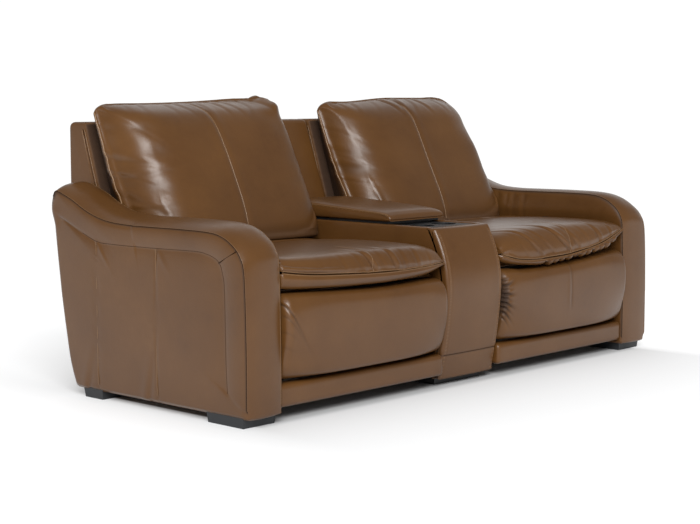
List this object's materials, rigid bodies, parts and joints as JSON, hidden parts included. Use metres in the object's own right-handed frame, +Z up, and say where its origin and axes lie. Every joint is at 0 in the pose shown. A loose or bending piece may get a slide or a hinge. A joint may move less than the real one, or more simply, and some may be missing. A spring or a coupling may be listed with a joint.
{
  "type": "reclining console loveseat",
  "caption": "Leather power reclining loveseat: overstuffed backs, fold-out footrests and a storage console with cup wells and a padded lid between the seats.",
  "frame": {"origin": "on the floor under the middle of the sofa's bounding box", "axes": "+X along the width towards the right-hand seat as seen from the front, -Y towards the front, +Z up"},
  "size_m": [2.1, 1.04, 0.9581],
  "materials": {
    "leather": "satin",
    "black_plastic": "satin",
    "black_steel": "satin",
    "zinc": "satin",
    "plywood": "matte"
  },
  "bodies": {
    "frame": {"left_arm": "leather", "left_front_foot": "black_plastic", "left_rear_foot": "black_plastic", "left_front_rail": "leather", "left_rear_rail": "leather", "left_outer_base_rail": "black_steel", "left_inner_base_rail": "black_steel", "left_switch_plate": "black_plastic", "right_arm": "leather", "right_front_foot": "black_plastic", "right_rear_foot": "black_plastic", "right_front_rail": "leather", "right_rear_rail": "leather", "right_outer_base_rail": "black_steel", "right_inner_base_rail": "black_steel", "right_switch_plate": "black_plastic", "console_front_panel": "leather", "console_left_side": "leather", "console_right_side": "leather", "console_plinth": "black_plastic", "console_back_post": "leather", "storage_bin": "black_plastic", "cup_tray": "black_plastic", "lid_hinge": "zinc"},
    "lid": {"lid_base": "black_plastic", "lid_pad": "leather"},
    "left_carriage": {"left_outer_side_plate": "black_steel", "left_inner_side_plate": "black_steel", "left_seat_frame": "black_steel", "left_seat_cushion": "leather", "left_recline_drive": "black_plastic"},
    "left_crank": {"left_footrest_crank": "black_steel"},
    "left_strut": {"left_outer_footrest_strut": "black_steel", "left_inner_footrest_strut": "black_steel"},
    "left_footrest": {"left_footrest_pad": "leather", "left_footrest_board": "plywood", "left_outer_footrest_bracket": "black_steel", "left_inner_footrest_bracket": "black_steel"},
    "left_back": {"left_back_shell": "leather", "left_back_cushion": "leather", "left_outer_back_bracket": "black_steel", "left_inner_back_bracket": "black_steel"},
    "left_rocker": {"left_switch_rocker": "black_plastic"},
    "right_carriage": {"right_outer_side_plate": "black_steel", "right_inner_side_plate": "black_steel", "right_seat_frame": "black_steel", "right_seat_cushion": "leather", "right_recline_drive": "black_plastic"},
    "right_crank": {"right_footrest_crank": "black_steel"},
    "right_strut": {"right_outer_footrest_strut": "black_steel", "right_inner_footrest_strut": "black_steel"},
    "right_footrest": {"right_footrest_pad": "leather", "right_footrest_board": "plywood", "right_outer_footrest_bracket": "black_steel", "right_inner_footrest_bracket": "black_steel"},
    "right_back": {"right_back_shell": "leather", "right_back_cushion": "leather", "right_outer_back_bracket": "black_steel", "right_inner_back_bracket": "black_steel"},
    "right_rocker": {"right_switch_rocker": "black_plastic"}
  },
  "joints": [
    {"name": "left_recline", "type": "hinge", "parent": "left_carriage", "child": "left_back", "pos_m": [-0.526, 0.185, 0.36], "axis": [-1, 0, 0], "range_deg": [0, 30]},
    {"name": "left_glide", "type": "slide", "parent": "frame", "child": "left_carriage", "axis": [0, -1, 0], "range_m": [0, 0.0801]},
    {"name": "left_footrest_open", "type": "hinge", "parent": "left_carriage", "child": "left_crank", "pos_m": [-0.526, -0.37, 0.31], "axis": [-1, 0, 0], "range_deg": [0, 93]},
    {"name": "left_strut_fold", "type": "hinge", "parent": "left_crank", "child": "left_strut", "pos_m": [-0.526, -0.29958, 0.17756], "axis": [1, 0, 0], "range_deg": [0, 127.1]},
    {"name": "left_footrest_tilt", "type": "hinge", "parent": "left_strut", "child": "left_footrest", "pos_m": [-0.526, -0.40023, 0.32678], "axis": [-1, 0, 0], "range_deg": [0, 118.1]},
    {"name": "left_switch_rock", "type": "hinge", "parent": "frame", "child": "left_rocker", "pos_m": [-0.8997, -0.175, 0.476], "axis": [0, 0, 1], "range_deg": [-4, 4], "stiffness_Nm_per_rad": 0.5},
    {"name": "right_recline", "type": "hinge", "parent": "right_carriage", "child": "right_back", "pos_m": [0.526, 0.185, 0.36], "axis": [-1, 0, 0], "range_deg": [0, 30]},
    {"name": "right_glide", "type": "slide", "parent": "frame", "child": "right_carriage", "axis": [0, -1, 0], "range_m": [0, 0.0801]},
    {"name": "right_footrest_open", "type": "hinge", "parent": "right_carriage", "child": "right_crank", "pos_m": [0.526, -0.37, 0.31], "axis": [-1, 0, 0], "range_deg": [0, 93]},
    {"name": "right_strut_fold", "type": "hinge", "parent": "right_crank", "child": "right_strut", "pos_m": [0.526, -0.29958, 0.17756], "axis": [1, 0, 0], "range_deg": [0, 127.1]},
    {"name": "right_footrest_tilt", "type": "hinge", "parent": "right_strut", "child": "right_footrest", "pos_m": [0.526, -0.40023, 0.32678], "axis": [-1, 0, 0], "range_deg": [0, 118.1]},
    {"name": "right_switch_rock", "type": "hinge", "parent": "frame", "child": "right_rocker", "pos_m": [0.8997, -0.175, 0.476], "axis": [0, 0, 1], "range_deg": [-4, 4], "stiffness_Nm_per_rad": 0.5},
    {"name": "lid_open", "type": "hinge", "parent": "frame", "child": "lid", "pos_m": [0, 0.2625, 0.5345], "axis": [-1, 0, 0], "range_deg": [0, 80]}
  ],
  "couplings": [
    {"joint": "left_glide", "follows": "left_recline", "m_per_rad": 0.15279},
    {"joint": "left_strut_fold", "follows": "left_footrest_open", "ratio": 1.3656},
    {"joint": "left_footrest_tilt", "follows": "left_footrest_open", "ratio": 1.2688},
    {"joint": "right_glide", "follows": "right_recline", "m_per_rad": 0.15279},
    {"joint": "right_strut_fold", "follows": "right_footrest_open", "ratio": 1.3656},
    {"joint": "right_footrest_tilt", "follows": "right_footrest_open", "ratio": 1.2688}
  ]
}
